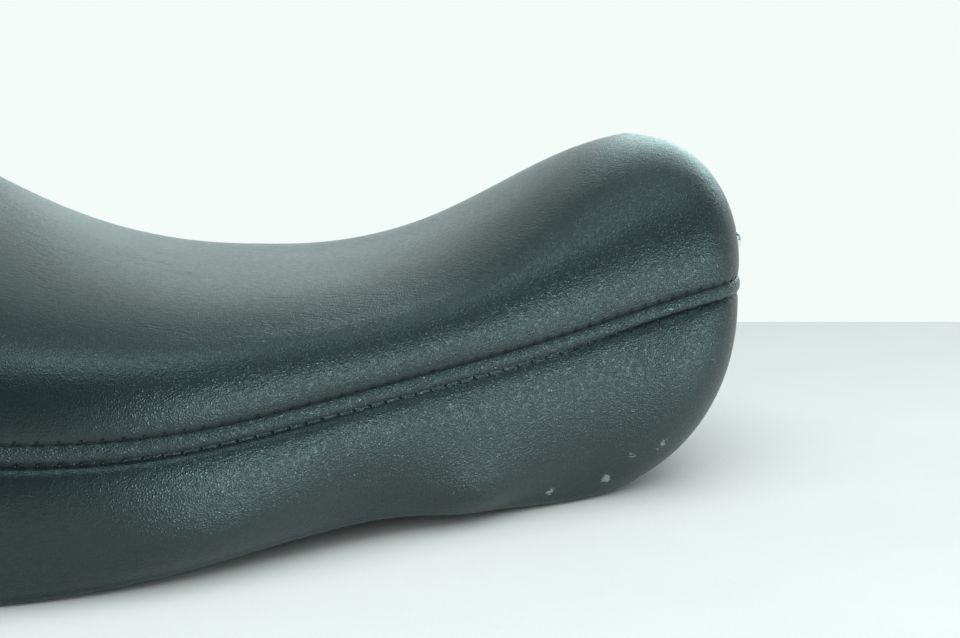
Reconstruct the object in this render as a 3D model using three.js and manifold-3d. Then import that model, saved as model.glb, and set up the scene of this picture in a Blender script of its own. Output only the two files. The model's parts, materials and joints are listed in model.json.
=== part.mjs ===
// A motorcycle-type saddle: a sewn leather cover in panels, a foam cushion, a moulded base pan, and the steel
// and rubber fittings under it. Units are millimetres. +X points to the nose, +Y to the rider's left, +Z up.
// Z = 0 is the plane that the hem rests on.
import * as THREE from 'three';
import { mergeVertices } from 'three/addons/utils/BufferGeometryUtils.js';
import Module from 'manifold-3d';

const wasm = await Module();
wasm.setup();

// ---- driving dimensions -------------------------------------------------------------------------------

const NOSE_X = 202.3; // X of the corner between the side and the nose face; s counts back from it
const LEATHER = 1.6; // thickness of the cover
const GAP = 0.3; // clearance between touching pieces
const BAND_HEIGHT = 6; // between the two stitch rows
const BAND_THICK = 1.1; // how far the band stands proud of the cover
const HEM_TURN = 17; // how far the cover is turned under the pan
const PAN_THICK = 3;
const PAN_FLANGE = 24; // width of the pan's rim
const PAN_WALL = 9; // width of the slope between the rim and the roof
const PAN_FRONT = 105; // s of the ends of the line that the underside's rings are drawn towards
const PAN_REAR = 350;
const ROOF_Z = 24; // top of the pan's roof
const FRONT_SPINE = 24; // s of the ends of the line that the top is drawn towards
const REAR_SPINE = 352;
const SPINE_SOFTNESS = 26; // how gradually the sections turn towards the spine's ends
const SKIRT_SQUARENESS = 2.2; // 2 is an ellipse
const STUD_Z = 93;
const STUD_RADIUS = 4.7;
const STUD_PROUD = 13.7; // from the nose face to the stud's tip

const ROUND = 64; // samples around the saddle
const TOP_ANGLES = [0, 14, 28, 39, 48, 57, 67, 76, 84.5].map(THREE.MathUtils.degToRad);
const SKIRT_ANGLES = [0, 20, 40, 57, 72, 86].map(THREE.MathUtils.degToRad);

// One row for each control point of half the outline, from mid nose to mid cantle:
// s and half width at the seam, height of the upper stitch row, s, half width and height of the hem,
// squareness of the section above the seam, the share of its rise that is wall and not crown, and
// how far the wall leans in towards its top.
const SECTIONS = [
  [-13.8, 0, 84, 48, 0, 3, 2.35, 1, 0],
  [-13.3, 30, 84, 48, 24, 3, 2.35, 1, 0],
  [-5, 62, 83.5, 51, 44, 3, 2.35, 1, 0],
  [6, 74, 82, 59, 61, 0, 2.35, 1, 0],
  [22, 78, 79.2, 70, 72, 0, 2.4, 1, 0],
  [45, 84, 73.8, 84, 82, 0, 2.5, 1, 0.01],
  [75, 95, 67, 102, 91, 2, 2.8, 0.98, 0.03],
  [110, 110, 61.4, 122, 102, 6, 3.4, 0.95, 0.05],
  [145, 129, 57.5, 148, 117, 9, 4.4, 0.94, 0.06],
  [180, 148, 53, 178, 134, 8, 5, 0.92, 0.06],
  [215, 166, 49.8, 212, 152, 4, 5, 0.88, 0.06],
  [250, 176, 50.3, 248, 163, 1, 4.6, 0.76, 0.06],
  [290, 180, 54, 288, 167, 0, 4, 0.6, 0.04],
  [330, 177, 59, 326, 164, 0, 3.3, 0.56, 0.02],
  [368, 163, 65, 362, 150, 0, 2.9, 0.72, 0.01],
  [402, 132, 72, 393, 120, 0, 2.7, 0.9, 0],
  [425, 82, 77, 414, 72, 0, 2.6, 1, 0],
  [432, 0, 79, 420, 0, 0, 2.6, 1, 0],
];

// Control points of the height of the top along the middle, from the front of the spine to its rear.
const SPINE_STEP = 25;
const SPINE_HEIGHTS = [
  142, 143, 141, 133, 118.5, 104, 94, 89, 88, 88.5, 93, 101.5, 113.5, 129, 142, 149, 152, 152, 152,
];

// ---- smooth curves ------------------------------------------------------------------------------------

const basis = (f) => [
  (1 - f) ** 3 / 6,
  (3 * f ** 3 - 6 * f ** 2 + 4) / 6,
  (-3 * f ** 3 + 3 * f ** 2 + 3 * f + 1) / 6,
  f ** 3 / 6,
];

const mirrorRow = ([s, y, seamZ, hemS, hemY, ...rest]) => [s, -y, seamZ, hemS, -hemY, ...rest];
const MIRRORED = SECTIONS.slice(1, -1).reverse().map(mirrorRow);
const RING = [...SECTIONS, ...MIRRORED];

// The section values at u, which goes once round the saddle from 0 to 1: nose, left side, cantle, right side.
function section(u) {
  const t = (((u % 1) + 1) % 1) * RING.length;
  const first = Math.floor(t);
  const weights = basis(t - first);
  return RING[0].map((_, column) =>
    weights.reduce((sum, w, k) => sum + w * RING[(first - 1 + k + RING.length) % RING.length][column], 0),
  );
}

function spineHeight(s) {
  const t = Math.min(Math.max(s / SPINE_STEP, 0), SPINE_HEIGHTS.length - 3.001) + 1;
  const first = Math.floor(t);
  const control = (k) => SPINE_HEIGHTS[Math.min(first - 1 + k, SPINE_HEIGHTS.length - 1)];
  return basis(t - first).reduce((sum, w, k) => sum + w * control(k), 0);
}

const softMax = (a, b, softness) => 0.5 * (a + b + Math.hypot(a - b, softness));
const softMin = (a, b, softness) => -softMax(-a, -b, softness);
const clampToSpine = (s, front, rear) => softMin(softMax(s, front, SPINE_SOFTNESS), rear, SPINE_SOFTNESS);
const place = (s, y, z) => new THREE.Vector3(NOSE_X - s, y, z);

// ---- the saddle's outer surface -----------------------------------------------------------------------

// Distance from the middle to a squared-off circle of radius 1, at an angle from 0 to 90 degrees.
const superellipse = (angle, squareness) =>
  (Math.abs(Math.cos(angle)) ** squareness + Math.abs(Math.sin(angle)) ** squareness) ** (-1 / squareness);

// angle 0 is the upper stitch row, 90 degrees the spine
function topPoint(u, angle) {
  const [s, y, seamZ, , , , squareness, wallShare, lean] = section(u);
  const spineS = clampToSpine(s, FRONT_SPINE, REAR_SPINE);
  const rise = spineHeight(spineS) - seamZ;
  const reach = superellipse(angle, squareness);
  const across = reach * Math.cos(angle);
  const up = reach * Math.sin(angle);
  const z = seamZ + rise * (wallShare * up + (1 - wallShare) * (1 - across ** 2));
  const drawn = across * (1 - lean * up);
  return place(spineS + (s - spineS) * drawn, y * drawn, z);
}

// angle 0 is the lower stitch row, 90 degrees the lowest line of the hem
function skirtPoint(u, angle) {
  const [s, y, seamZ, hemS, hemY, hemZ] = section(u);
  const reach = superellipse(angle, SKIRT_SQUARENESS);
  const out = reach * Math.cos(angle);
  const down = reach * Math.sin(angle);
  const lowerRow = seamZ - BAND_HEIGHT;
  return place(hemS + (s - hemS) * out, hemY + (y - hemY) * out, lowerRow - (lowerRow - hemZ) * down);
}

// rise 0 is the lower stitch row, 1 the upper one
function bandPoint(u, rise) {
  const [s, y, seamZ] = section(u);
  return place(s, y, seamZ - BAND_HEIGHT * (1 - rise));
}

// inset counts inwards from the hem, level is the height above it
function underPoint(u, inset, level) {
  const [, , , hemS, hemY, hemZ] = section(u);
  const middleS = clampToSpine(hemS, PAN_FRONT, PAN_REAR);
  const share = 1 - inset / Math.hypot(hemS - middleS, hemY);
  return place(middleS + (hemS - middleS) * share, hemY * share, hemZ + level);
}

// A point moved into the saddle by depth, square to the surface that point(u, v) describes.
function inside(point, u, v, depth) {
  const step = 1e-3;
  const along = point(u + step, v).sub(point(u - step, v));
  const up = point(u, v + step).sub(point(u, v - step));
  const outward = along.cross(up).normalize();
  return point(u, v).addScaledVector(outward, -depth);
}

const ringAt = (point) => Array.from({ length: ROUND }, (_, i) => point(i / ROUND));

// ---- closed meshes from rings and grids ---------------------------------------------------------------

// Turns the triangles over where they enclose a negative volume, so that the faces point outwards.
function facingOut(points, triangles) {
  let volume = 0;
  for (let t = 0; t < triangles.length; t += 3) {
    const [a, b, c] = triangles.slice(t, t + 3).map((p) => points[p]);
    volume += a.dot(b.clone().cross(c));
  }
  return volume < 0 ? triangles.slice().reverse() : triangles;
}

function meshGeometry(points, triangles) {
  const geometry = new THREE.BufferGeometry();
  const positions = points.flatMap((p) => [p.x, p.y, p.z]);
  geometry.setAttribute('position', new THREE.Float32BufferAttribute(positions, 3));
  geometry.setIndex(facingOut(points, triangles));
  return geometry;
}

// Joins rings of equal length, first to last. An open end is closed across the middle, left to right.
function ringSolid(rings, joinEnds) {
  const count = rings[0].length;
  const points = rings.flat();
  const triangles = [];
  const quad = (a, b, c, d) => triangles.push(a, b, c, a, c, d);
  const last = joinEnds ? rings.length : rings.length - 1;
  for (let r = 0; r < last; r++) {
    const lower = r * count;
    const upper = ((r + 1) % rings.length) * count;
    for (let i = 0; i < count; i++) {
      const next = (i + 1) % count;
      quad(lower + i, lower + next, upper + next, upper + i);
    }
  }
  if (!joinEnds) {
    const half = count / 2;
    for (const [base, flip] of [[0, true], [(rings.length - 1) * count, false]]) {
      for (let i = 0; i < half; i++) {
        const right = base + ((count - i) % count);
        const rightNext = base + count - i - 1;
        const cell = [base + i, base + i + 1, rightNext, right];
        const loop = cell.filter((p, k) => cell.indexOf(p) === k);
        if (flip) loop.reverse();
        if (loop.length === 4) quad(...loop);
        else triangles.push(...loop);
      }
    }
  }
  return meshGeometry(points, triangles);
}

// A sheet over a grid of u and v samples, between its outer and inner surface.
function sheetSolid(uSamples, rows) {
  const columns = uSamples.length;
  const points = [];
  for (const row of rows) for (const u of uSamples) points.push(row(u));
  const triangles = [];
  for (let r = 0; r < rows.length; r++) {
    const lower = r * columns;
    const upper = ((r + 1) % rows.length) * columns;
    for (let i = 0; i < columns - 1; i++) {
      triangles.push(lower + i, lower + i + 1, upper + i + 1, lower + i, upper + i + 1, upper + i);
    }
  }
  // end caps: the rows run out along the outer surface and back along the inner one
  const half = rows.length / 2;
  for (const [column, flip] of [[0, true], [columns - 1, false]]) {
    for (let k = 0; k < half - 1; k++) {
      const a = k * columns + column;
      const b = (k + 1) * columns + column;
      const c = (rows.length - 2 - k) * columns + column;
      const d = (rows.length - 1 - k) * columns + column;
      const cell = flip ? [a, b, c, a, c, d] : [a, c, b, a, d, c];
      triangles.push(...cell);
    }
  }
  return meshGeometry(points, triangles);
}

function span(from, to, count) {
  return Array.from({ length: count + 1 }, (_, i) => from + ((to - from) * i) / count);
}

// The samples of the whole round that lie between two places, with the places themselves.
function samplesBetween(from, to) {
  const first = Math.floor(from * ROUND) + 1;
  const last = Math.ceil(to * ROUND) - 1;
  return [from, ...span(first / ROUND, last / ROUND, last - first), to];
}

// ---- joins and cuts -----------------------------------------------------------------------------------

function toManifold(source) {
  const bare = source.clone();
  bare.deleteAttribute('normal');
  bare.deleteAttribute('uv');
  const merged = mergeVertices(bare, 1e-4);
  return new wasm.Manifold(
    new wasm.Mesh({
      numProp: 3,
      vertProperties: new Float32Array(merged.attributes.position.array),
      triVerts: new Uint32Array(merged.index.array),
    }),
  );
}

function fromManifold(solid) {
  const mesh = solid.getMesh();
  const geometry = new THREE.BufferGeometry();
  geometry.setAttribute('position', new THREE.BufferAttribute(mesh.vertProperties, 3));
  geometry.setIndex(new THREE.BufferAttribute(mesh.triVerts, 1));
  return geometry;
}

const cut = (body, ...tools) =>
  fromManifold(tools.reduce((left, tool) => left.subtract(toManifold(tool)), toManifold(body)));
const join = (...bodies) => fromManifold(bodies.map(toManifold).reduce((a, b) => a.add(b)));

// ---- simple shapes, placed ----------------------------------------------------------------------------

const box = (length, width, height, x, y, z) =>
  new THREE.BoxGeometry(length, width, height).translate(x, y, z);

// A solid of revolution about +Z from [radius, height] pairs.
const turned = (profile, sides = 16) =>
  new THREE.LatheGeometry(profile.map(([r, h]) => new THREE.Vector2(r, h)), sides).rotateX(Math.PI / 2);

const disc = (radius, bottom, top, sides = 16) =>
  turned([[0, bottom], [radius, bottom], [radius, top], [0, top]], sides);

const sleeve = (inner, outer, bottom, top, sides = 16) =>
  turned([[inner, bottom], [outer, bottom], [outer, top], [inner, top], [inner, bottom]], sides);

const hexagon = (acrossFlats, bottom, top) => disc(acrossFlats / Math.sqrt(3), bottom, top, 6);

const alongX = (geometry) => geometry.rotateY(Math.PI / 2);

// ---- the model ----------------------------------------------------------------------------------------

const saddle = new THREE.Group();

const finish = {
  leather: { color: 0x3a474a, roughness: 0.5, metalness: 0 },
  foam: { color: 0xc9bd9a, roughness: 0.95, metalness: 0 },
  pan: { color: 0x1b1d1e, roughness: 0.6, metalness: 0 },
  steel: { color: 0x9aa0a3, roughness: 0.4, metalness: 0.9 },
  chrome: { color: 0xd5dadb, roughness: 0.12, metalness: 1 },
  rubber: { color: 0x202223, roughness: 0.8, metalness: 0 },
};

function add(name, geometry, slot, x = 0, y = 0, z = 0) {
  const mesh = new THREE.Mesh(geometry, new THREE.MeshStandardMaterial(finish[slot]));
  mesh.name = name;
  mesh.position.set(x, y, z);
  saddle.add(mesh);
}

// ---- cover --------------------------------------------------------------------------------------------

const SEAM_LINE = 0.5; // where the top and the side panels meet, halfway up under the band
const SEAM_SLIT = 0.02;
const PANEL_SLIT = 0.0003; // in u, between neighbouring panels
const NOSE_SPLIT = 3 / ROUND; // u where the nose panel meets a side panel
const CANTLE_SPLIT = 29 / ROUND;
const FOAM_DEPTH = LEATHER + 4 * GAP;

const onTop = (angle, depth) => (u) => inside(topPoint, u, angle, depth);
const onBand = (rise, depth) => (u) => inside(bandPoint, u, rise, depth);
const onSkirt = (angle, depth) => (u) => inside((a, b) => skirtPoint(a, -b), u, -angle, depth);
const onUnder = (inset, level) => (u) => underPoint(u, inset, level);

const topRows = (depth, lowest) => [
  ...TOP_ANGLES.slice(1).reverse().map((angle) => onTop(angle, depth)),
  onBand(1, depth),
  onBand(lowest, depth),
];

const skirtRows = (depth, level) => [
  onBand(SEAM_LINE - SEAM_SLIT, depth),
  onBand(0, depth),
  ...SKIRT_ANGLES.slice(1).map((angle) => onSkirt(angle, depth)),
  onUnder(HEM_TURN / 2, level),
  onUnder(HEM_TURN, level),
];

function topCover() {
  const rows = [...topRows(0, SEAM_LINE + SEAM_SLIT), ...topRows(LEATHER, SEAM_LINE + SEAM_SLIT).reverse()];
  return ringSolid(rows.map(ringAt), false);
}

function panel(from, to) {
  const rows = [...skirtRows(0, 0), ...skirtRows(LEATHER, LEATHER).reverse()];
  return sheetSolid(samplesBetween(from + PANEL_SLIT, to - PANEL_SLIT), rows);
}

function seamBand(from, to) {
  const outer = [0.02, 0.2, 0.8, 0.98];
  const proud = [0.5, 1, 1, 0.5];
  const rows = [
    ...outer.map((rise, k) => onBand(rise, -GAP - BAND_THICK * proud[k])),
    ...outer.map((rise) => onBand(rise, -GAP)).reverse(),
  ];
  return sheetSolid(samplesBetween(from + PANEL_SLIT, to - PANEL_SLIT), rows);
}

// ---- base pan and foam --------------------------------------------------------------------------------

const PAN_LEVEL = LEATHER + GAP; // underside of the pan's rim above the hem line
const ROOF_UNDER = ROOF_Z - PAN_THICK;
const RIM_INSET = 3; // from the hem to the edge of the pan
const CAP_SHARES = [0, 0.45, 0.85]; // how far towards the middle the roof's rings lie

function panRows(lift) {
  const roofPoint = (u, share) => {
    const hemS = section(u)[3];
    const middle = place(clampToSpine(hemS, PAN_FRONT, PAN_REAR), 0, 0);
    return underPoint(u, PAN_FLANGE + PAN_WALL - lift, 0).lerp(middle, share).setZ(ROOF_UNDER + lift);
  };
  return [
    onUnder(RIM_INSET, PAN_LEVEL + lift),
    onUnder(PAN_FLANGE - lift, PAN_LEVEL + lift),
    ...CAP_SHARES.map((share) => (u) => roofPoint(u, share)),
  ];
}

const RIBS = [
  // length, width, s, y
  [136, 2.4, 222, 34],
  [136, 2.4, 222, -34],
  [2.4, 130, 188, 0],
  [2.4, 150, 262, 0],
];
const RIB_DEPTH = 8;
const RIB_ROOT = 0.5; // how far a rib runs into the roof

function basePan(holes) {
  const rows = [...panRows(0).reverse(), ...panRows(PAN_THICK)];
  const shell = ringSolid(rows.map(ringAt), false);
  const ribs = RIBS.map(([length, width, s, y]) =>
    box(length, width, RIB_DEPTH + RIB_ROOT, NOSE_X - s, y, ROOF_UNDER + (RIB_ROOT - RIB_DEPTH) / 2),
  );
  return cut(join(shell, ...ribs), ...holes);
}

function foamCushion(pockets) {
  const rows = [
    ...topRows(FOAM_DEPTH, SEAM_LINE),
    onBand(0, FOAM_DEPTH),
    ...SKIRT_ANGLES.slice(1, -1).map((angle) => onSkirt(angle, FOAM_DEPTH)),
    onUnder(0.5, PAN_LEVEL + PAN_THICK + GAP),
    ...panRows(PAN_THICK + GAP).slice(1),
  ];
  return cut(ringSolid(rows.map(ringAt), false), ...pockets);
}

// ---- fittings under the pan ---------------------------------------------------------------------------

const PLATE = 3; // steel plate
const PLATE_TOP = ROOF_UNDER - GAP;
const BOLT_RADIUS = 3;
const BOLT_HEAD = 10; // across flats
const HEAD_HEIGHT = 4;
const WASHER_THICK = 1.2;
const NUT_HEIGHT = 5;
const FOOT_WIDTH = 44; // of the nose hook and the rear tab, along Y
const FOOT_BOLT_Y = 13;
const STRIKER_BOLT_Y = 24;
const THROUGH = 60; // half length of a drill that goes right through
const HOOK_S = 122;
const STRIKER_S = 308;
const TAB_S = 360;
const TAB_BOLT_X = 12; // from the tab's own origin to its bolts

const BOLTS = [
  // name, s, y
  ['hook_left', HOOK_S, FOOT_BOLT_Y],
  ['hook_right', HOOK_S, -FOOT_BOLT_Y],
  ['striker_left', STRIKER_S, STRIKER_BOLT_Y],
  ['striker_right', STRIKER_S, -STRIKER_BOLT_Y],
  ['rear_left', TAB_S - TAB_BOLT_X, FOOT_BOLT_Y],
  ['rear_right', TAB_S - TAB_BOLT_X, -FOOT_BOLT_Y],
];

const BUMPERS = [
  // name, s, y
  ['front_left', 128, 48],
  ['front_right', 128, -48],
  ['middle_left', 214, 88],
  ['middle_right', 214, -88],
  ['rear_left', 322, 92],
  ['rear_right', 322, -92],
];
const BUMPER_RADIUS = 9;
const BUMPER_HEIGHT = 16;
const STEM_RADIUS = 3.2;
const STEM_HEIGHT = PAN_THICK + 3;

function bolt() {
  const head = hexagon(BOLT_HEAD, -HEAD_HEIGHT, 0);
  const shank = disc(BOLT_RADIUS, -1, WASHER_THICK + PLATE + PAN_THICK + NUT_HEIGHT + 3 * GAP);
  return join(head, shank);
}

function teeNut() {
  const flange = sleeve(BOLT_RADIUS + GAP, 8, 0, 1.4);
  const barrel = sleeve(BOLT_RADIUS + GAP, 5, 0.5, NUT_HEIGHT);
  return join(flange, barrel);
}

// A bent strip: its outline in X and Z, and its width along Y.
function bentStrip(outline, width) {
  const shape = new THREE.Shape(outline.map(([x, z]) => new THREE.Vector2(x, z)));
  return new THREE.ExtrudeGeometry(shape, { depth: width, bevelEnabled: false })
    .rotateX(Math.PI / 2)
    .translate(0, width / 2, 0);
}

const boltHole = (x, y) => disc(BOLT_RADIUS + GAP, -THROUGH, THROUGH).translate(x, y, 0);

// The nose hook: a foot against the roof, a step down, and a tongue that goes under the frame's crossbar.
function noseHook() {
  const outline = [
    [-20, 0], [-20, -PLATE], [11, -PLATE], [15, -13], [33, -13], [37, -11.5], [38, -9.3],
    [35.5, -8.5], [34, -10], [17.4, -10], [13.4, 0],
  ];
  return cut(bentStrip(outline, FOOT_WIDTH), boltHole(0, FOOT_BOLT_Y), boltHole(0, -FOOT_BOLT_Y));
}

// The rear tab: a foot against the roof and a tab turned down, with the hole for the frame bolt.
function rearTab() {
  const outline = [[25, 0], [25, -PLATE], [-5, -PLATE], [-8, -17], [-11, -17], [-8, -1.5], [-6.5, 0]];
  const frameHole = alongX(disc(4.5, -20, 20)).translate(-9, 0, -10);
  const holes = [boltHole(TAB_BOLT_X, FOOT_BOLT_Y), boltHole(TAB_BOLT_X, -FOOT_BOLT_Y), frameHole];
  return cut(bentStrip(outline, FOOT_WIDTH), ...holes);
}

// The striker: a round bar bent into a loop below its plate.
function strikerLoop() {
  const plate = box(26, 66, PLATE, 0, 0, -PLATE / 2);
  const path = new THREE.CatmullRomCurve3(
    [[-1, 13], [-8, 13], [-13, 11], [-15, 6], [-15, 0], [-15, -6], [-13, -11], [-8, -13], [-1, -13]].map(
      ([z, y]) => new THREE.Vector3(0, y, z),
    ),
  );
  const bar = new THREE.Shape().absarc(0, 0, 3, 0, 2 * Math.PI);
  const loop = new THREE.ExtrudeGeometry(bar, { extrudePath: path, steps: 24, curveSegments: 5 });
  return cut(join(plate, loop), boltHole(0, STRIKER_BOLT_Y), boltHole(0, -STRIKER_BOLT_Y));
}

const bumper = () =>
  turned([
    [0, -BUMPER_HEIGHT], [BUMPER_RADIUS - 2, -BUMPER_HEIGHT], [BUMPER_RADIUS, 2 - BUMPER_HEIGHT],
    [BUMPER_RADIUS + 1, 0], [STEM_RADIUS, 0], [STEM_RADIUS, STEM_HEIGHT], [0, STEM_HEIGHT],
  ]);

// ---- stud in the nose face ----------------------------------------------------------------------------

const STUD_PLATE_THICK = 2.5;
const STUD_END = 8; // from the nose face to the end of the bolt
const BORE_END = STUD_END + GAP + 0.1;
const STUD_PLATE_SIZE = [34, 26];
const STUD_SET_BACK = 2.8; // from the cover's inner side to the plate, for the roundness of the nose

function noseFaceX(z) {
  const angles = span(0, Math.PI / 4, 400);
  const angle = angles.find((a) => topPoint(0, a).z >= z);
  return topPoint(0, angle).x;
}

const FACE_X = noseFaceX(STUD_Z);
const STUD_PLATE_FRONT = FACE_X - LEATHER - STUD_SET_BACK;

function studBolt() {
  const back = STUD_PLATE_FRONT - STUD_PLATE_THICK - GAP - FACE_X;
  return alongX(join(disc(7, back - 2.5, back), disc(BOLT_RADIUS, back - 1, STUD_END)));
}

const studPlate = () =>
  cut(
    box(STUD_PLATE_THICK, STUD_PLATE_SIZE[0], STUD_PLATE_SIZE[1], 0, 0, 0),
    alongX(disc(BOLT_RADIUS + GAP, -20, 20)),
  );

const WASHER_RIM = 6.6; // radius
const WASHER_CROWN = 2.1; // height above the nose face

const cupWasher = () =>
  alongX(
    turned([
      [BOLT_RADIUS + GAP, 0.9], [WASHER_RIM, 0.6], [WASHER_RIM, 1.2], [5.4, WASHER_CROWN],
      [BOLT_RADIUS + GAP, WASHER_CROWN], [BOLT_RADIUS + GAP, 0.9],
    ]),
  );

function domeNut() {
  const start = WASHER_CROWN + GAP;
  const shoulder = 7;
  const rounded = span(0, Math.PI / 2, 8).map((a) => [
    STUD_RADIUS * Math.cos(a),
    STUD_PROUD - STUD_RADIUS * (1 - Math.sin(a)),
  ]);
  const foot = [[0, shoulder - 1], [STUD_RADIUS, shoulder - 1]];
  const dome = turned([...foot, ...rounded.slice(0, -1), [0, STUD_PROUD]]);
  const body = join(hexagon(10, start, shoulder), dome);
  return alongX(cut(body, disc(BOLT_RADIUS + GAP, start - 1, BORE_END)));
}

// ---- assembly -----------------------------------------------------------------------------------------

const stemHole = (s, y) => disc(STEM_RADIUS + GAP, -THROUGH, THROUGH).translate(NOSE_X - s, y, 0);
const panHoles = [
  ...BOLTS.map(([, s, y]) => boltHole(NOSE_X - s, y)),
  ...BUMPERS.map(([, s, y]) => stemHole(s, y)),
];
const roofPocket = (radius, height, s, y) =>
  disc(radius, ROOF_Z - 2, ROOF_Z + height).translate(NOSE_X - s, y, 0);

add(
  'top_cover',
  cut(topCover(), alongX(disc(BOLT_RADIUS + GAP, -20, 20)).translate(FACE_X, 0, STUD_Z)),
  'leather',
);
add('side_panel_left', panel(NOSE_SPLIT, CANTLE_SPLIT), 'leather');
add('side_panel_right', panel(1 - CANTLE_SPLIT, 1 - NOSE_SPLIT), 'leather');
add('cantle_panel', panel(CANTLE_SPLIT, 1 - CANTLE_SPLIT), 'leather');
add('nose_panel', panel(-NOSE_SPLIT, NOSE_SPLIT), 'leather');
add('seam_band_left', seamBand(0, 0.5), 'leather');
add('seam_band_right', seamBand(0.5, 1), 'leather');

add(
  'foam_cushion',
  foamCushion([
    ...BOLTS.map(([, s, y]) => roofPocket(9, NUT_HEIGHT + 4, s, y)),
    ...BUMPERS.map(([, s, y]) => roofPocket(STEM_RADIUS + 1, 5, s, y)),
    box(60, STUD_PLATE_SIZE[0] + 1, STUD_PLATE_SIZE[1] + 1, STUD_PLATE_FRONT - 7 + 30, 0, STUD_Z),
  ]),
  'foam',
);
add('base_pan', basePan(panHoles), 'pan');

add('nose_hook', noseHook(), 'steel', NOSE_X - HOOK_S, 0, PLATE_TOP);
add('striker_loop', strikerLoop(), 'steel', NOSE_X - STRIKER_S, 0, PLATE_TOP);
add('rear_tab', rearTab(), 'steel', NOSE_X - TAB_S, 0, PLATE_TOP);

const plateUnder = PLATE_TOP - PLATE - GAP;
for (const [name, s, y] of BOLTS) {
  const washer = sleeve(BOLT_RADIUS + GAP, 6.5, -WASHER_THICK, 0);
  add(`${name}_washer`, washer, 'steel', NOSE_X - s, y, plateUnder);
  add(`${name}_bolt`, bolt(), 'steel', NOSE_X - s, y, plateUnder - WASHER_THICK - GAP);
  add(`${name}_tee_nut`, teeNut(), 'steel', NOSE_X - s, y, ROOF_Z + GAP);
}
for (const [name, s, y] of BUMPERS) add(`bumper_${name}`, bumper(), 'rubber', NOSE_X - s, y, PLATE_TOP);

add('stud_plate', studPlate(), 'steel', STUD_PLATE_FRONT - STUD_PLATE_THICK / 2, 0, STUD_Z);
add('stud_bolt', studBolt(), 'steel', FACE_X, 0, STUD_Z);
add('stud_washer', cupWasher(), 'chrome', FACE_X, 0, STUD_Z);
add('stud_dome_nut', domeNut(), 'chrome', FACE_X, 0, STUD_Z);

export default saddle;
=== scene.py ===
"""A padded saddle's looks, in the CAD's frame and in metres.

Leather panels, seam band, stitches, hem, foam, pan and fittings, with the room, the lamps and the camera.
"""

import json
import math

import bmesh
import bpy
import numpy as np
from mathutils import Matrix, Vector


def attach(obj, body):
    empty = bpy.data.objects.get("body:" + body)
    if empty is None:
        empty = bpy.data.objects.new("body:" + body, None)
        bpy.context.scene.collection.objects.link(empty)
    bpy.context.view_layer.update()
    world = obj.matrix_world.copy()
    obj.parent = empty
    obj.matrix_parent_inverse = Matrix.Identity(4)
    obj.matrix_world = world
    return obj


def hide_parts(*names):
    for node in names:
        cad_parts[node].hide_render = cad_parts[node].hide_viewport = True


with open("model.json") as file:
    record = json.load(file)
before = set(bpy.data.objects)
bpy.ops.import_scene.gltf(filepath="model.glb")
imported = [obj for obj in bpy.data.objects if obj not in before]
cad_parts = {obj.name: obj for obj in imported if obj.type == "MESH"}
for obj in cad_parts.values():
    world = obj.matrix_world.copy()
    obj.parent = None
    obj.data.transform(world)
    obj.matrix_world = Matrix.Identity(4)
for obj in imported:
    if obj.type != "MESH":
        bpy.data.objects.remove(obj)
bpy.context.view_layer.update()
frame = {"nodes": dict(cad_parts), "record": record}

MM = 0.001

# ---- the saddle's form, with the same driving values as the CAD, in millimetres ----------------------------

NOSE_X = 202.3  # X of the corner between the side and the nose face; s counts back from it
LEATHER = 1.6  # thickness
BAND_HEIGHT = 6.0  # between the two stitch rows
HEM_TURN = 17.0  # how far the hem turns under
FRONT_SPINE, REAR_SPINE, SPINE_SOFTNESS = 24.0, 352.0, 26.0  # s of the crown line's two ends
SKIRT_SQUARENESS = 2.2
PAN_FRONT, PAN_REAR = 105.0, 350.0  # s that the underside's rings are drawn towards
STITCH = 6.35  # four to the inch
NOSE_SPLIT, CANTLE_SPLIT = 3 / 64, 29 / 64  # places round the saddle where the skirt's panels meet
ROOF_Z = 24.0  # top of the pan's roof
PAN_THICK = 3.0
PAN_FLANGE, PAN_WALL = 24.0, 9.0  # widths of the rim and of the sloping wall

# One row for each control point of half the outline, from the middle of the nose to the middle of the cantle:
# s, half width and height of the upper stitch row, s, half width and height of the hem,
# squareness of the section above the seam, share of its rise that is wall, how far the wall leans in.
SECTIONS = [
    (-13.8, 0, 84, 48, 0, 3, 2.35, 1, 0),
    (-13.3, 30, 84, 48, 24, 3, 2.35, 1, 0),
    (-5, 62, 83.5, 51, 44, 3, 2.35, 1, 0),
    (6, 74, 82, 59, 61, 0, 2.35, 1, 0),
    (22, 78, 79.2, 70, 72, 0, 2.4, 1, 0),
    (45, 84, 73.8, 84, 82, 0, 2.5, 1, 0.01),
    (75, 95, 67, 102, 91, 2, 2.8, 0.98, 0.03),
    (110, 110, 61.4, 122, 102, 6, 3.4, 0.95, 0.05),
    (145, 129, 57.5, 148, 117, 9, 4.4, 0.94, 0.06),
    (180, 148, 53, 178, 134, 8, 5, 0.92, 0.06),
    (215, 166, 49.8, 212, 152, 4, 5, 0.88, 0.06),
    (250, 176, 50.3, 248, 163, 1, 4.6, 0.76, 0.06),
    (290, 180, 54, 288, 167, 0, 4, 0.6, 0.04),
    (330, 177, 59, 326, 164, 0, 3.3, 0.56, 0.02),
    (368, 163, 65, 362, 150, 0, 2.9, 0.72, 0.01),
    (402, 132, 72, 393, 120, 0, 2.7, 0.9, 0),
    (425, 82, 77, 414, 72, 0, 2.6, 1, 0),
    (432, 0, 79, 420, 0, 0, 2.6, 1, 0),
]
SPINE_STEP = 25.0  # between the control heights of the crown line, from the nose back
SPINE_HEIGHTS = [
    142, 143, 141, 133, 118.5, 104, 94, 89, 88, 88.5, 93, 101.5, 113.5, 129, 142, 149, 152, 152, 152,
]

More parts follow.
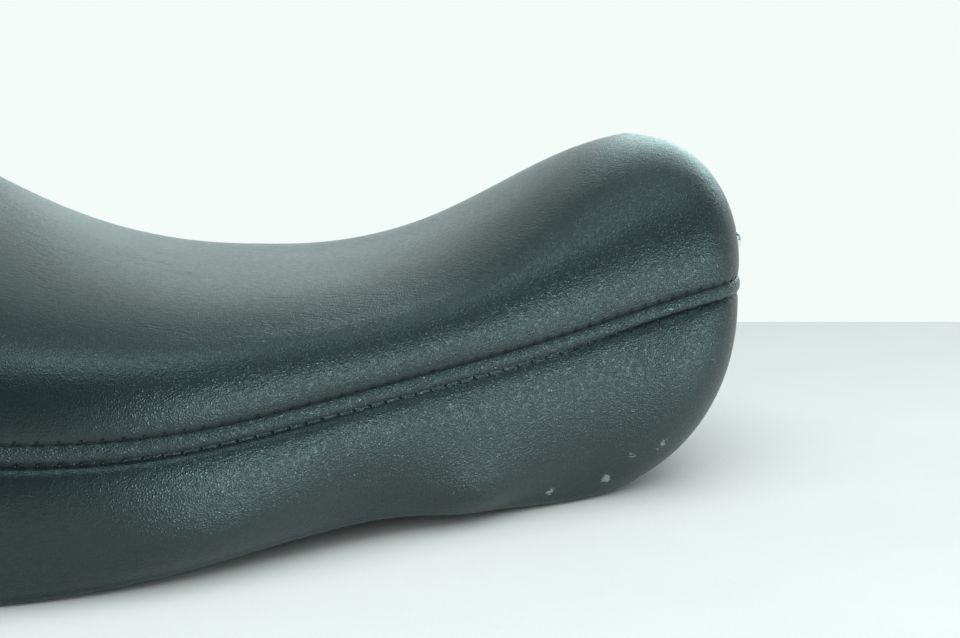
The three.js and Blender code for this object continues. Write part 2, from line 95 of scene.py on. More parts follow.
half = np.array(SECTIONS, float)
mirrored = half[-2:0:-1] * [1, -1, 1, 1, -1, 1, 1, 1, 1]
RING = np.vstack([half, mirrored])
SPINE = np.array(SPINE_HEIGHTS, float)


def spline_weights(f):
    """Weights of four control points in a row, of a uniform cubic B-spline."""
    return [(1 - f) ** 3 / 6, (3 * f**3 - 6 * f**2 + 4) / 6, (-3 * f**3 + 3 * f**2 + 3 * f + 1) / 6, f**3 / 6]


def section(u):
    """The section's values at u, which goes once round from 0 to 1: nose, left side, cantle, right side."""
    t = np.mod(u, 1) * len(RING)
    first = np.floor(t).astype(int)
    weights = spline_weights(t - first)
    total = sum(w[..., None] * RING[(first - 1 + k) % len(RING)] for k, w in enumerate(weights))
    return np.moveaxis(total, -1, 0)


def spine_height(s):
    """Height of the crown line."""
    t = np.clip(s / SPINE_STEP, 0, len(SPINE) - 3.001) + 1
    first = np.floor(t).astype(int)
    weights = spline_weights(t - first)
    return sum(w * SPINE[np.minimum(first - 1 + k, len(SPINE) - 1)] for k, w in enumerate(weights))


def clamp_softly(s, front, rear):
    """s kept between front and rear, without a corner at either."""
    low = 0.5 * (s + front + np.hypot(s - front, SPINE_SOFTNESS))
    return 0.5 * (low + rear - np.hypot(low - rear, SPINE_SOFTNESS))


def superellipse(angle, squareness):
    """Across and up on a squared-off circle of radius 1."""
    across, up = np.abs(np.cos(angle)), np.abs(np.sin(angle))
    reach = (across**squareness + up**squareness) ** (-1 / squareness)
    return reach * np.cos(angle), reach * np.sin(angle)


def place(s, y, z):
    return np.stack(np.broadcast_arrays(NOSE_X - s, y, z), -1)


def top_point(u, angle):
    """The cover above the seam: angle 0 is the upper stitch row, a right angle the spine."""
    s, y, seam_z, _, _, _, squareness, wall, lean = section(u)
    spine_s = clamp_softly(s, FRONT_SPINE, REAR_SPINE)
    rise = spine_height(spine_s) - seam_z
    across, up = superellipse(angle, squareness)
    drawn = across * (1 - lean * up)
    z = seam_z + rise * (wall * up + (1 - wall) * (1 - across**2))
    return place(spine_s + (s - spine_s) * drawn, y * drawn, z)


def skirt_point(u, angle):
    """The cover below the seam: angle 0 is the lower stitch row, minus a right angle the hem."""
    s, y, seam_z, hem_s, hem_y, hem_z, _, _, _ = section(u)
    out, down = superellipse(-angle, SKIRT_SQUARENESS)
    lower = seam_z - BAND_HEIGHT
    return place(hem_s + (s - hem_s) * out, hem_y + (y - hem_y) * out, lower - (lower - hem_z) * down)


def band_point(u, rise):
    """Between the stitch rows: rise 0 is the lower one, 1 the upper one."""
    s, y, seam_z = section(u)[:3]
    return place(s, y, seam_z - BAND_HEIGHT * (1 - rise))


def under_point(u, inset, level):
    """inset counts inwards from the hem, level is the height above it."""
    _, _, _, hem_s, hem_y, hem_z, _, _, _ = section(u)
    middle = clamp_softly(hem_s, PAN_FRONT, PAN_REAR)
    share = 1 - inset / np.hypot(hem_s - middle, hem_y)
    return place(middle + (hem_s - middle) * share, hem_y * share, hem_z + level)


def outward(point, u, v):
    """Unit vectors square to a surface."""
    step = 1e-3
    along = point(u + step, v) - point(u - step, v)
    up = point(u, v + step) - point(u, v - step)
    normal = np.cross(along, up)
    return normal / np.linalg.norm(normal, axis=-1, keepdims=True)


def raised(point, u, v, out):
    """Points moved square to the surface by out, in millimetres."""
    u, v = np.broadcast_arrays(np.asarray(u, float), v)
    return point(u, v) + outward(point, u, v) * np.asarray(out)[..., None]


def seam_arc(count=4096):
    """u, and the length along the upper stitch row up to it."""
    u = np.linspace(0, 1, count + 1)
    steps = np.linalg.norm(np.diff(band_point(u, 1.0), axis=0), axis=1)
    return u, np.concatenate([[0], np.cumsum(steps)])


ARC_U, ARC = seam_arc()
SEAM_LENGTH = ARC[-1]
STITCHES = round(SEAM_LENGTH / STITCH)
PITCH = SEAM_LENGTH / STITCHES


def u_at(arc):
    return np.interp(np.mod(arc, SEAM_LENGTH), ARC, ARC_U)


def arc_at(u):
    return np.floor(u) * SEAM_LENGTH + np.interp(np.mod(u, 1), ARC_U, ARC)


# ---- meshes from grids -------------------------------------------------------------------------------------


def make_object(name, vertices, faces, uv=None):
    mesh = bpy.data.meshes.new(name)
    mesh.from_pydata((np.asarray(vertices) * MM).tolist(), [], faces)
    if uv is not None:
        layer = mesh.uv_layers.new(name="seam")
        layer.data.foreach_set("uv", np.asarray(uv, np.float32).ravel())
    mesh.polygons.foreach_set("use_smooth", [True] * len(mesh.polygons))
    piece = bpy.data.objects.new(name, mesh)
    bpy.context.scene.collection.objects.link(piece)
    return piece


def grid_faces(rows, columns, closed_u, closed_v):
    """Quads, as an array of vertex numbers, with the column and row of each corner."""
    r = np.arange(rows if closed_v else rows - 1)
    c = np.arange(columns if closed_u else columns - 1)
    r, c = (a.ravel() for a in np.meshgrid(r, c, indexing="ij"))
    corner_rows = np.stack([r, r, r + 1, r + 1], 1)
    corner_columns = np.stack([c, c + 1, c + 1, c], 1)
    numbers = (corner_rows % rows) * columns + corner_columns % columns
    return numbers, corner_rows, corner_columns


def zip_faces(base, columns):
    """Closes a ring across the middle, left to right, for a top or a roof."""
    faces = []
    for i in range(columns // 2):
        cell = [base + i, base + i + 1, base + columns - i - 1, base + (columns - i) % columns]
        faces.append([p for k, p in enumerate(cell) if p not in cell[:k]])
    return faces


def sheet_object(name, rows, closed_u, arc=None, height=None, zipped=False):
    """A closed piece from rows of points that run along its outer side and back along its inner side.

    arc is the length along the seam at each column and height the distance from the seam at each row, both in
    millimetres; they go in the UV layer "seam", in stitches and millimetres.
    """
    rows = np.asarray(rows)
    count, columns = rows.shape[:2]
    numbers, corner_rows, corner_columns = grid_faces(count, columns, closed_u, not zipped)
    faces = numbers.tolist()
    uv = None
    if arc is not None:
        arc = np.append(arc, SEAM_LENGTH) if closed_u else arc
        height = np.append(height, height[0])
        uv = np.stack([arc[corner_columns] / PITCH, height[corner_rows]], -1).reshape(-1, 2)
    extra = []
    if zipped:
        extra += zip_faces(0, columns) + zip_faces((count - 1) * columns, columns)
    if not closed_u:
        pairs = [(k, count - 1 - k) for k in range(count // 2)]
        for column in (0, columns - 1):
            for (a, d), (b, c) in zip(pairs[:-1], pairs[1:]):
                extra.append([p * columns + column for p in (a, b, c, d)])
    if uv is not None:
        spare = sum(len(face) for face in extra)
        uv = np.vstack([uv, np.full((spare, 2), 0.25)])
    piece = make_object(name, rows.reshape(-1, 3), faces + extra, uv)
    face_out(piece)
    return piece


def face_out(piece):
    work = bmesh.new()
    work.from_mesh(piece.data)
    bmesh.ops.recalc_face_normals(work, faces=work.faces)
    work.to_mesh(piece.data)
    work.free()


def tube(path, radius, sides=8, side_axis=None):
    """Points and faces of a closed round bar along path, whose ends round off where radius falls to 0."""
    path = np.asarray(path, float)
    radius = np.broadcast_to(radius, len(path))
    tangent = np.gradient(path, axis=0)
    tangent /= np.linalg.norm(tangent, axis=1, keepdims=True)
    side = np.cross(tangent, [0, 0, 1.0] if side_axis is None else side_axis)
    side /= np.linalg.norm(side, axis=1, keepdims=True)
    up = np.cross(side, tangent)
    turn = np.linspace(0, 2 * math.pi, sides, endpoint=False)
    ring = np.cos(turn)[None, :, None] * side[:, None] + np.sin(turn)[None, :, None] * up[:, None]
    points = path[:, None] + ring * radius[:, None, None]
    numbers, _, _ = grid_faces(len(path), sides, True, False)
    faces = numbers.tolist()
    faces += [list(range(sides))[::-1], [(len(path) - 1) * sides + k for k in range(sides)]]
    return points.reshape(-1, 3), faces


def merged_object(name, parts):
    """One object from several point and face lists."""
    vertices, faces, start = [], [], 0
    for points, part_faces in parts:
        vertices.append(points)
        faces += [[start + p for p in face] for face in part_faces]
        start += len(points)
    piece = make_object(name, np.vstack(vertices), faces)
    face_out(piece)
    return piece


# ---- cover -------------------------------------------------------------------------------------------------

COLUMNS = 800  # round the whole saddle: about four to a stitch
RIGHT_ANGLE = math.pi / 2
GROOVE = 0.7  # depth and half width of the furrow that each stitch row pulls in
PUCKER_DEPTH = 0.22
INNER_SIDE = 200.0  # seam coordinate of the cover's hidden side, clear of the needle holes


def evenly_round(from_arc, to_arc, closed):
    """Columns at even steps along the seam: u and arc length."""
    count = round((to_arc - from_arc) / SEAM_LENGTH * COLUMNS)
    arc = np.linspace(from_arc, to_arc, count + (0 if closed else 1), endpoint=not closed)
    return u_at(arc), arc


def pucker(arc, distance, reach=3.5):
    """Leather drawn in at the stitch holes and swelling between them."""
    return -PUCKER_DEPTH * np.cos(2 * math.pi * arc / PITCH) * np.exp(-distance / reach)


def unevenness(u, seed):
    """A gentle wave round the saddle, for foam that isn't perfectly even."""
    random = np.random.default_rng(seed)
    count, lowest, highest = 14, 3, 26  # waves, and their turns round the saddle
    wave = np.zeros_like(u)
    for _ in range(count):
        turns = random.integers(lowest, highest)
        wave += np.cos(2 * math.pi * (turns * u + random.random())) / math.sqrt(turns)
    return wave / math.sqrt(count / 4)


def distance_from_seam(rows):
    """Distance of each row from the first one along the surface, in millimetres: average over the columns."""
    steps = np.linalg.norm(np.diff(rows, axis=0), axis=2).mean(axis=1)
    return np.concatenate([[0], np.cumsum(steps)])


# Where the skirt swells or dips: place round the saddle, angle below the seam, reach along the seam and
# down the skirt in millimetres, and height. They mirror onto the other side.
BULGES = [
    (0.203, 0.95, 24, 13, 4.8),
    (0.290, 0.75, 32, 14, 2.9),
    (0.112, 0.3, 22, 12, 1.5),
    (0.245, 0.6, 18, 16, -1.6),
    (0.150, 0.9, 22, 14, -1.2),
]


def from_nose(u):
    """Place round the saddle, 0 in the middle of the nose to 0.5 in the middle of the cantle."""
    return np.abs(np.mod(u + 0.5, 1) - 0.5)


def ease(t):
    """0 to 1 with a level start and end."""
    t = np.clip(t, 0, 1)
    return t * t * (3 - 2 * t)


def fullness(u):
    """0 at the nose, where the cover is drawn tight, to 1 along the sides."""
    return ease((from_nose(u) - 0.05) / 0.08)


def slackness(u):
    """0 round the nose to 1 along the rear half of the side, where the lower furrow lies widest."""
    return ease((from_nose(u) - 0.12) / 0.18)


def swelling(distance, reach):
    """A rounded swell from the seam outwards that ends at reach."""
    return math.sin(math.pi * min(1.0, distance / reach) ** 0.8)


def bulges(arc, angle, depth_mm):
    """Soft undulations of the foam in the skirt. depth_mm is the height of the skirt."""
    total = np.zeros_like(arc)
    for u, centre, along, down, out in BULGES:
        for place_u in (u, 1 - u):
            apart = arc - arc_at(np.float64(place_u))
            away = (np.mod(apart + SEAM_LENGTH / 2, SEAM_LENGTH) - SEAM_LENGTH / 2) / along
            below = (angle - centre) / RIGHT_ANGLE * depth_mm / down
            total += out * np.exp(-(away**2) - below**2)
    return total


def top_cover():
    """The one-piece top, with its inner side and the edge that runs in under the band."""
    u, arc = evenly_round(0, SEAM_LENGTH, True)
    fine = np.concatenate([np.linspace(0, 0.4, 22), np.linspace(0.43, 1.3, 24), np.linspace(1.335, 1.53, 7)])
    plain = np.array([top_point(u, np.full_like(u, a)) for a in fine])
    distance = distance_from_seam(plain)
    wave_a, wave_b = unevenness(u, 3), unevenness(u, 8)
    overhang = fullness(u) * (1.1 + 1.9 * np.exp(-(((from_nose(u) - 0.25) / 0.06) ** 2)))
    rows, heights = [], []
    for rise, out in ((0.62, -1.0), (0.8, -0.9), (0.93, -0.75)):
        rows.append(raised(band_point, u, rise, np.full_like(u, out)))
        heights.append(-BAND_HEIGHT * (1 - rise))
    for angle, d in zip(fine, distance):
        swell = 0.7 * (1 - math.exp(-d / 4)) * math.exp(-d / 45) + overhang * swelling(d, 42.0)
        dip = -GROOVE * math.exp(-((d / GROOVE) ** 2))
        rolling = 0.35 * (1 - math.exp(-d / 12)) * math.exp(-d / 60)
        out = swell + dip + pucker(arc, d) + rolling * (wave_a + wave_b * math.sin(d / 9))
        rows.append(raised(top_point, u, np.full_like(u, angle), out))
        heights.append(d)
    inner_angles = [1.53, 1.3, 1.0, 0.75, 0.55, 0.4, 0.25, 0.1]
    for angle in inner_angles:
        rows.append(raised(top_point, u, np.full_like(u, angle), np.full_like(u, -LEATHER - 0.3)))
        heights.append(INNER_SIDE)
    rows.append(raised(band_point, u, 0.9, np.full_like(u, -LEATHER - 1.0)))
    rows.append(raised(band_point, u, 0.62, np.full_like(u, -LEATHER - 1.2)))
    heights += [INNER_SIDE, INNER_SIDE]
    # the zip at each end needs the top first: the outer side starts from it, the inner side leads up to it
    outer_count = 3 + len(fine)
    outer, inner = rows[:outer_count][::-1], rows[outer_count:][::-1]
    order = outer + inner
    levels = heights[:outer_count][::-1] + heights[outer_count:][::-1]
    return sheet_object("top_cover_leather", order, True, arc, np.array(levels), zipped=True)


def skirt_rows(u, arc, ends, wave_seed):
    """Outer and inner rows of a skirt panel. ends draws the panel in at its two vertical seams."""
    angles = np.concatenate([np.linspace(0, 0.5, 16), np.linspace(0.55, 1.15, 12), np.linspace(1.2, 1.55, 8)])
    plain = np.array([skirt_point(u, np.full_like(u, -a)) for a in angles])
    distance = distance_from_seam(plain)
    wave, slack = unevenness(u, wave_seed), slackness(u)
    rows, inner, heights = [], [], []
    for rise, out in ((0.42, -1.2), (0.2, -1.1), (0.06, -1.0)):
        rows.append(raised(band_point, u, rise, out + ends))
        inner.append(raised(band_point, u, rise, out - LEATHER + ends))
        heights.append(-BAND_HEIGHT * (1 - rise))
    for angle, d in zip(angles, distance):
        swell = 0.9 * (1 - math.exp(-d / 7)) * math.exp(-d / 40) + bulges(arc, angle, distance[-1])
        swell = swell + 3.8 * fullness(u) * swelling(d, distance[-1])
        dip = -(0.7 + 1.5 * slack) * np.exp(-((d / (0.6 + 1.3 * slack)) ** 2))
        lip = 0.8 * math.exp(-(((distance[-1] - d - 7) / 2.5) ** 2))
        rolling = 0.4 * math.sin(min(1.0, d / distance[-1]) * math.pi)
        out = swell + dip + lip + (0.5 + 0.5 * slack) * pucker(arc, d) + rolling * wave + ends
        rows.append(raised(skirt_point, u, np.full_like(u, -angle), out))
        inner.append(raised(skirt_point, u, np.full_like(u, -angle), np.minimum(out, 0.3) - LEATHER))
        heights.append(-BAND_HEIGHT - d)
    for inset in (2.0, 5.0, 9.0, 13.0, HEM_TURN):
        rows.append(under_point(u, inset, 0.05))
        inner.append(under_point(u, inset, LEATHER))
        heights.append(-BAND_HEIGHT - distance[-1] - inset)
    return rows + inner[::-1], np.array(heights + heights[::-1])


def skirt_panel(name, from_u, to_u, wave_seed):
    """One panel of the skirt, clear of its neighbours by a slit at each vertical seam."""
    slit = 0.35
    start, end = arc_at(np.float64(from_u)) + slit, arc_at(np.float64(to_u)) - slit
    u, arc = evenly_round(start, end, False)
    edge = np.minimum(arc - start, end - arc)
    ends = -1.3 * np.exp(-((edge / 1.6) ** 2))
    rows, heights = skirt_rows(u, arc, ends, wave_seed)
    return sheet_object(name, rows, False, arc, heights)


def seam_band(name, from_arc, to_arc):
    """The flat-felled strip: rounded across, its edges sunk into the two stitch furrows."""
    slit = 0.25
    u, arc = evenly_round(from_arc + slit, to_arc - slit, False)
    rises = np.array([0.06, 0.09, 0.15, 0.23, 0.33, 0.44, 0.55, 0.66, 0.77, 0.86, 0.93, 0.97])
    rows, heights = [], []
    ridge = 0.12 * unevenness(u, 5)
    for rise in rises:
        across = (rise - rises[0]) / (rises[-1] - rises[0])
        crown = max(0.0, math.sin(math.pi * across**0.85)) ** 0.5
        edge = min(rise - rises[0], rises[-1] - rise) * BAND_HEIGHT
        out = -0.6 + 1.6 * crown + 1.5 * pucker(arc, edge, 1.4) + ridge * crown
        rows.append(raised(band_point, u, rise, out))
        heights.append(-BAND_HEIGHT * (1 - rise))
    for rise in rises[::-1]:
        rows.append(raised(band_point, u, rise, np.full_like(u, -1.1)))
        heights.append(-BAND_HEIGHT * (1 - rise))
    return sheet_object(name, rows, False, arc, np.array(heights))


UPPER_THREAD, LOWER_THREAD = 0.38, 0.28  # radius
UPPER_RISE, LOWER_RISE = 0.985, 0.03  # where the stitch rows lie on the band
UPPER_SETBACK, LOWER_SETBACK = 1.1, 0.6  # from each furrow to its needle holes, in the panel beside it


def hole_point(k, upper, out):
    """The k-th needle hole of a row."""
    u = u_at(np.array([k * PITCH]))
    skirt_height = section(u)[2] - BAND_HEIGHT - section(u)[5]
    if upper:
        rise = spine_height(clamp_softly(section(u)[0], FRONT_SPINE, REAR_SPINE)) - section(u)[2]
        return raised(top_point, u, UPPER_SETBACK / rise, out)[0]
    return raised(skirt_point, u, -LOWER_SETBACK / skirt_height, out)[0]


def stitch_row(name, upper):
    """Sunk stitches along the furrow."""
    parts = []
    rise, radius, sunk = (UPPER_RISE, UPPER_THREAD, -0.55) if upper else (LOWER_RISE, LOWER_THREAD, -1.0)
    taper = np.array([0.35, 0.85, 1, 1, 1, 0.85, 0.35])
    for k in range(STITCHES):
        arc = (k + np.linspace(0.08, 0.92, len(taper))) * PITCH
        depth = sunk - 0.6 * np.linspace(-1, 1, len(taper)) ** 4
        path = raised(band_point, u_at(arc), rise, depth)
        parts.append(tube(path, radius * taper))
    return merged_object(name, parts)


def stitch_ends(name, upper):
    """The turn of thread that shows in each needle hole, and its leg down to the furrow."""
    parts = []
    for k in range(STITCHES):
        u = u_at(np.array([k * PITCH]))
        hole = hole_point(k, upper, -0.12)
        foot = raised(band_point, u, UPPER_RISE if upper else LOWER_RISE, -0.4)[0]
        share = np.linspace(0.0 if upper else 0.5, 1, 5)[:, None]
        out = outward(band_point, u, np.full_like(u, 0.5))[0]
        leg = foot + (hole - foot) * share + out * 0.16 * np.sin(math.pi * share)
        parts.append(tube(leg, np.array([0.12, 0.18, 0.20, 0.22, 0.10]), 6, side_axis=[0.3, 0.2, 0.1]))
    return merged_object(name, parts)


def hem_staples():
    """Wire staples through the turned-under hem into the pan's rim, askew as a hand gun leaves them."""
    random = np.random.default_rng(21)
    parts = []
    spacing, inset = 15.0, 11.0
    hem_u = np.linspace(0, 1, 2049)
    steps = np.linalg.norm(np.diff(under_point(hem_u, inset, 0.0), axis=0), axis=1)
    length = np.concatenate([[0], np.cumsum(steps)])
    for k in range(round(length[-1] / spacing)):
        u = np.interp((k + 0.15 * random.standard_normal()) * spacing, length, hem_u)
        centre = under_point(np.float64(u), inset + random.normal(0, 0.6), -0.05)
        ahead = under_point(np.float64(u + 1e-3), inset, -0.05) - under_point(np.float64(u), inset, -0.05)
        heading = math.atan2(ahead[1], ahead[0]) + random.normal(0, 0.12)
        along = np.array([math.cos(heading), math.sin(heading), 0])
        path = [centre + along * t + [0, 0, lift] for t, lift in
                ((-5, 1.2), (-4.9, 0.35), (-4.4, 0.12), (0, 0.08), (4.4, 0.12), (4.9, 0.35), (5, 1.2))]
        parts.append(tube(path, 0.35, 6, side_axis=[0.1, 0.2, 1]))
    return merged_object("hem_staples", parts)


# ---- foam --------------------------------------------------------------------------------------------------


def foam():
    """The moulded cushion under the cover, hollowed over the pan."""
    u, _ = evenly_round(0, SEAM_LENGTH, True)
    u = u[::4]
    depth = np.full_like(u, -LEATHER - 1.2)
    rows = [raised(top_point, u, np.full_like(u, a), depth) for a in np.linspace(1.5, 0.05, 18)]
    rows += [raised(band_point, u, rise, depth) for rise in (1.0, 0.5, 0.0)]
    rows += [raised(skirt_point, u, np.full_like(u, -a), depth) for a in (0.3, 0.6, 0.85, 1.05)]
    level = LEATHER + 0.3 + PAN_THICK + 0.3
    rows += [under_point(u, inset, level) for inset in (0.5, 8.0, PAN_FLANGE - level)]
    wall_top = under_point(u, PAN_FLANGE + PAN_WALL - PAN_THICK, 0.0)
    wall_top[:, 2] = ROOF_Z + 0.3
    middle = place(clamp_softly(section(u)[3], PAN_FRONT, PAN_REAR), 0.0, ROOF_Z + 0.3)
    rows += [wall_top + (middle - wall_top) * share for share in (0.0, 0.3, 0.6, 0.9)]
    return sheet_object("foam_block", rows, True, zipped=True)


# ---- base pan and fittings ---------------------------------------------------------------------------------

FLANGE_LEVEL = LEATHER + 0.3
ROOF_UNDER = ROOF_Z - PAN_THICK
RIBS = [  # s and y of both ends
    ((154, 34), (290, 34)),
    ((154, -34), (290, -34)),
    ((188, -65), (188, 65)),
    ((262, -75), (262, 75)),
]
RIB_THICK, RIB_DEPTH = 2.4, 8.0


def pan_side(u, under):
    """Rows of one side of the moulded shell, from the rim's edge to the middle of its roof."""
    lift = 0.0 if under else PAN_THICK
    level = FLANGE_LEVEL + lift
    hem_z = section(u)[5]
    foot_inset, top_inset = PAN_FLANGE - lift, PAN_FLANGE + PAN_WALL - lift
    middle = clamp_softly(section(u)[3], PAN_FRONT, PAN_REAR)
    rows = [under_point(u, inset, level) for inset in (3.0, 3.6, 8.0, 15.0, foot_inset - 3)]
    for t in np.linspace(0, 1, 9):
        blend = t * t * (3 - 2 * t)
        row = under_point(u, foot_inset - 2 + (top_inset - foot_inset + 4) * t, level)
        row[:, 2] = (hem_z + level) * (1 - blend) + (ROOF_UNDER + lift) * blend
        rows.append(row)
    last = rows[-1]
    centre = place(middle, 0.0, ROOF_UNDER + lift)
    rows += [last + (centre - last) * share for share in (0.06, 0.3, 0.6, 0.9)]
    return rows


def base_pan():
    """The moulded shell that the saddle is built on."""
    u, _ = evenly_round(0, SEAM_LENGTH, True)
    u = u[::2]
    rows = pan_side(u, True)[::-1] + pan_side(u, False)
    return sheet_object("base_pan_shell", rows, True, zipped=True)


def rounded_box(name, corner_a, corner_b, bevel):
    """A box with softened edges between two opposite corners, in millimetres."""
    low, high = np.minimum(corner_a, corner_b), np.maximum(corner_a, corner_b)
    work = bmesh.new()
    bmesh.ops.create_cube(work, size=1.0)
    for vertex in work.verts:
        vertex.co = Vector(low + (high - low) * (np.array(vertex.co) + 0.5)) * MM
    bmesh.ops.bevel(work, geom=work.edges[:], offset=bevel * MM, segments=2, affect="EDGES")
    mesh = bpy.data.meshes.new(name)
    work.to_mesh(mesh)
    work.free()
    piece = bpy.data.objects.new(name, mesh)
    bpy.context.scene.collection.objects.link(piece)
    return piece


def pan_rib(name, ends):
    """A stiffening rib under the pan's roof, along or across the saddle."""
    (s0, y0), (s1, y1) = ends
    pad = RIB_THICK / 2
    a = np.array([NOSE_X - s0 + pad, min(y0, y1) - pad * (y0 == y1), ROOF_UNDER - RIB_DEPTH])
    b = np.array([NOSE_X - s1 - pad, max(y0, y1) + pad * (y0 == y1), ROOF_UNDER + 0.5])
    return rounded_box(name, a, b, 0.5)


def bevelled(node, width=0.35):
    """Softens a CAD node's edges with modifiers, which leave its mesh as it is."""
    modifier = node.modifiers.new("edge", "BEVEL")
    modifier.width = width * MM
    modifier.segments = 2
    modifier.limit_method = "ANGLE"
    modifier.angle_limit = math.radians(34)


# ---- materials ---------------------------------------------------------------------------------------------


class Graph:
    """Short notation for a material's nodes. A value is a number, a tuple or another node's output."""

    def __init__(self, name, color, roughness, metallic=0.0):
        self.material = bpy.data.materials.new(name)
        self.material.use_nodes = True
        self.tree = self.material.node_tree
        self.shader = self.tree.nodes["Principled BSDF"]
        self.give(self.shader.inputs["Base Color"], (*color, 1.0))
        self.give(self.shader.inputs["Roughness"], roughness)
        self.give(self.shader.inputs["Metallic"], metallic)
        self.here = self.node("TexCoord").outputs["Object"]

    def give(self, socket, value):
        if isinstance(value, bpy.types.NodeSocket):
            self.tree.links.new(value, socket)
        else:
            socket.default_value = value

    def node(self, kind, inputs=(), **settings):
        made = self.tree.nodes.new("ShaderNode" + kind)
        for key, value in settings.items():
            setattr(made, key, value)
        for key, value in dict(inputs).items():
            self.give(made.inputs[key], value)
        return made

    def math(self, operation, a, b=0.5, c=0.5):
        return self.node("Math", {0: a, 1: b, 2: c}, operation=operation).outputs[0]

    def vector(self, operation, a, b=(0, 0, 0), scale=1.0):
        made = self.node("VectorMath", {0: a, 1: b}, operation=operation)
        if operation == "SCALE":
            self.give(made.inputs[3], scale)
        return made.outputs["Value" if operation in ("LENGTH", "DISTANCE") else 0]

    def noise(self, scale, detail=3.0, at=None, roughness=0.55):
        inputs = {"Vector": at or self.here, "Scale": scale, "Detail": detail, "Roughness": roughness}
        return self.node("TexNoise", inputs).outputs[0]

    def step(self, value, low, high, to_low=0.0, to_high=1.0):
        inputs = {0: value, 1: low, 2: high, 3: to_low, 4: to_high}
        return self.node("MapRange", inputs, interpolation_type="SMOOTHSTEP").outputs[0]

    def blend(self, factor, a, b):
        made = self.node("Mix", data_type="RGBA")
        for socket, value in ((made.inputs[0], factor), (made.inputs[6], a), (made.inputs[7], b)):
            self.give(socket, (*value, 1.0) if isinstance(value, tuple) else value)
        return made.outputs[2]

    def bump(self, height, depth_mm, under=None):
        inputs = {"Height": height, "Strength": 1.0, "Distance": depth_mm * MM}
        if under is not None:
            inputs["Normal"] = under
        return self.node("Bump", inputs).outputs[0]

    def finish(self, color=None, roughness=None, normal=None):
        for key, value in (("Base Color", color), ("Roughness", roughness), ("Normal", normal)):
            if value is not None:
                self.give(self.shader.inputs[key], value)
        return self.material


# Rub marks low beside the nose, on one side: place round the saddle, angle below the seam, radius in
# millimetres.
SCUFFS = [
    (0.886, 0.74, 6.0),
    (0.868, 0.80, 4.5),
    (0.865, 1.00, 4.5),
    (0.835, 1.06, 4.0),
    (0.879, 0.28, 4.0),
]


def scuff_mask(g):
    """Light scratches that stand thickest in the middle of each rub mark."""
    total = 0.0
    streaks = g.noise(1.0, 4, g.vector("MULTIPLY", g.here, (430.0, 430.0, 900.0)), 0.75)
    for u, angle, radius in SCUFFS:
        centre = skirt_point(np.float64(u), np.float64(-angle)).ravel() * MM
        away = g.vector("DISTANCE", g.here, tuple(centre))
        near = g.step(away, radius * MM, 0.15 * radius * MM)
        mark = g.step(g.math("ADD", streaks, g.math("MULTIPLY", near, 0.28)), 0.64, 0.72)
        total = g.math("MAXIMUM", total, g.math("MULTIPLY", mark, g.step(near, 0.0, 0.15)))
    return total


def crease_mask(g):
    """Fine broken lines along the saddle in the seat's top, where the cover has been sat on. The leather
    sinks them with a bump and paints them darker, as painted shade in the creases.
    """
    stretched = g.vector("MULTIPLY", g.here, (11.0, 105.0, 105.0))
    away = g.math("ABSOLUTE", g.math("SUBTRACT", g.noise(1.0, 3, stretched, 0.6), 0.5))
    line = g.step(away, 0.020, 0.0)
    broken = g.step(g.noise(22.0, 2), 0.50, 0.66)
    x = g.node("SeparateXYZ", {0: g.here}).outputs[0]
    seat = g.math("MULTIPLY", g.step(x, 0.10, 0.03), g.step(x, -0.21, -0.15))
    up = g.node("SeparateXYZ", {0: g.node("NewGeometry").outputs["Normal"]}).outputs[2]
    flat = g.step(up, 0.72, 0.95)
    return g.math("MULTIPLY", g.math("MULTIPLY", line, broken), g.math("MULTIPLY", seat, flat))


def hole_mask(g):
    """Needle holes beside the furrows, from the seam's coordinates: stitches along and millimetres up. The
    leather paints them near black, as painted shade in the holes.
    """
    seam = g.node("SeparateXYZ", {0: g.node("UVMap", uv_map="seam").outputs[0]})
    along = g.math("MULTIPLY", g.math("PINGPONG", seam.outputs[0], 0.5), PITCH)
    mask = 0.0
    for height in (UPPER_SETBACK, -BAND_HEIGHT - LOWER_SETBACK):
        across = g.math("POWER", g.math("SUBTRACT", seam.outputs[1], height), 2.0)
        away = g.math("POWER", g.math("ADD", g.math("POWER", along, 2.0), across), 0.5)
        mask = g.math("MAXIMUM", mask, g.step(away, 0.65, 0.35))
    return mask


